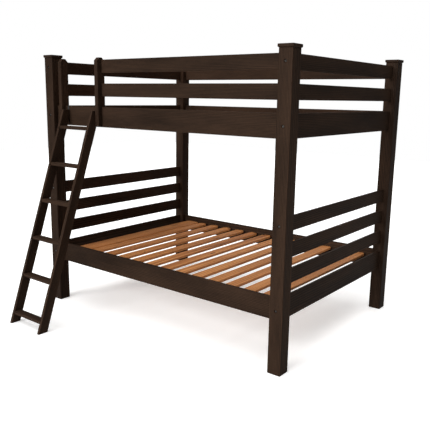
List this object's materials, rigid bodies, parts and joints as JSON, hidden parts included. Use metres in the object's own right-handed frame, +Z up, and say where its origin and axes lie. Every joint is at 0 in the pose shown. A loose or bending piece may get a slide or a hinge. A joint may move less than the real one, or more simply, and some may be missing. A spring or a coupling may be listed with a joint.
{
  "type": "bunk bed with ladder",
  "caption": "Full-over-full bunk bed of square posts and flat rails, with slatted decks, guard rails and a leaning ladder that lifts off.",
  "frame": {"origin": "centre of the footprint, ladder included, on the floor", "axes": "+X along the bed's length away from the ladder end, +Y from the front to the back, +Z up"},
  "size_m": [2.111, 2.062, 1.858],
  "materials": {
    "stained_wood": "dark espresso stain under a satin lacquer",
    "slat_wood": "bare orange-brown pine, sanded",
    "black_steel": "satin black"
  },
  "bodies": {
    "bed_frame": {"cap_back_left": "stained_wood", "cap_back_right": "stained_wood", "cap_front_left": "stained_wood", "cap_front_right": "stained_wood", "ladder_opening_post_left": "stained_wood", "ladder_opening_post_right": "stained_wood", "lower_end_board_left": "stained_wood", "lower_end_board_right": "stained_wood", "lower_end_rail_1_left": "stained_wood", "lower_end_rail_1_right": "stained_wood", "lower_end_rail_2_left": "stained_wood", "lower_end_rail_2_right": "stained_wood", "lower_end_rail_3_left": "stained_wood", "lower_end_rail_3_right": "stained_wood", "lower_side_rail_back": "stained_wood", "lower_side_rail_front": "stained_wood", "lower_slat_01": "slat_wood", "lower_slat_02": "slat_wood", "lower_slat_03": "slat_wood", "lower_slat_04": "slat_wood", "lower_slat_05": "slat_wood", "lower_slat_06": "slat_wood", "lower_slat_07": "slat_wood", "lower_slat_08": "slat_wood", "lower_slat_09": "slat_wood", "lower_slat_10": "slat_wood", "lower_slat_11": "slat_wood", "lower_slat_12": "slat_wood", "lower_slat_13": "slat_wood", "lower_slat_ledger_back": "stained_wood", "lower_slat_ledger_front": "stained_wood", "middle_guard_rail_back": "stained_wood", "middle_guard_rail_front": "stained_wood", "post_back_left": "stained_wood", "post_back_right": "stained_wood", "post_front_left": "stained_wood", "post_front_right": "stained_wood", "top_guard_rail_back": "stained_wood", "top_guard_rail_front": "stained_wood", "upper_end_board_left": "stained_wood", "upper_end_board_right": "stained_wood", "upper_end_middle_rail_left": "stained_wood", "upper_end_middle_rail_right": "stained_wood", "upper_end_top_rail_left": "stained_wood", "upper_end_top_rail_right": "stained_wood", "upper_side_rail_back": "stained_wood", "upper_side_rail_front": "stained_wood", "upper_slat_deck": "slat_wood", "upper_slat_ledger_back": "stained_wood", "upper_slat_ledger_front": "stained_wood"},
    "ladder": {"ladder_hook_left": "black_steel", "ladder_hook_right": "black_steel", "ladder_rail_left": "stained_wood", "ladder_rail_right": "stained_wood", "ladder_rung_1": "stained_wood", "ladder_rung_2": "stained_wood", "ladder_rung_3": "stained_wood", "ladder_rung_4": "stained_wood", "ladder_rung_5": "stained_wood", "ladder_rung_6": "stained_wood"}
  },
  "joints": [
    {"name": "ladder_lift", "type": "slide", "parent": "bed_frame", "child": "ladder", "axis": [0, 0, 1], "range_m": [0, 0.06]}
  ]
}
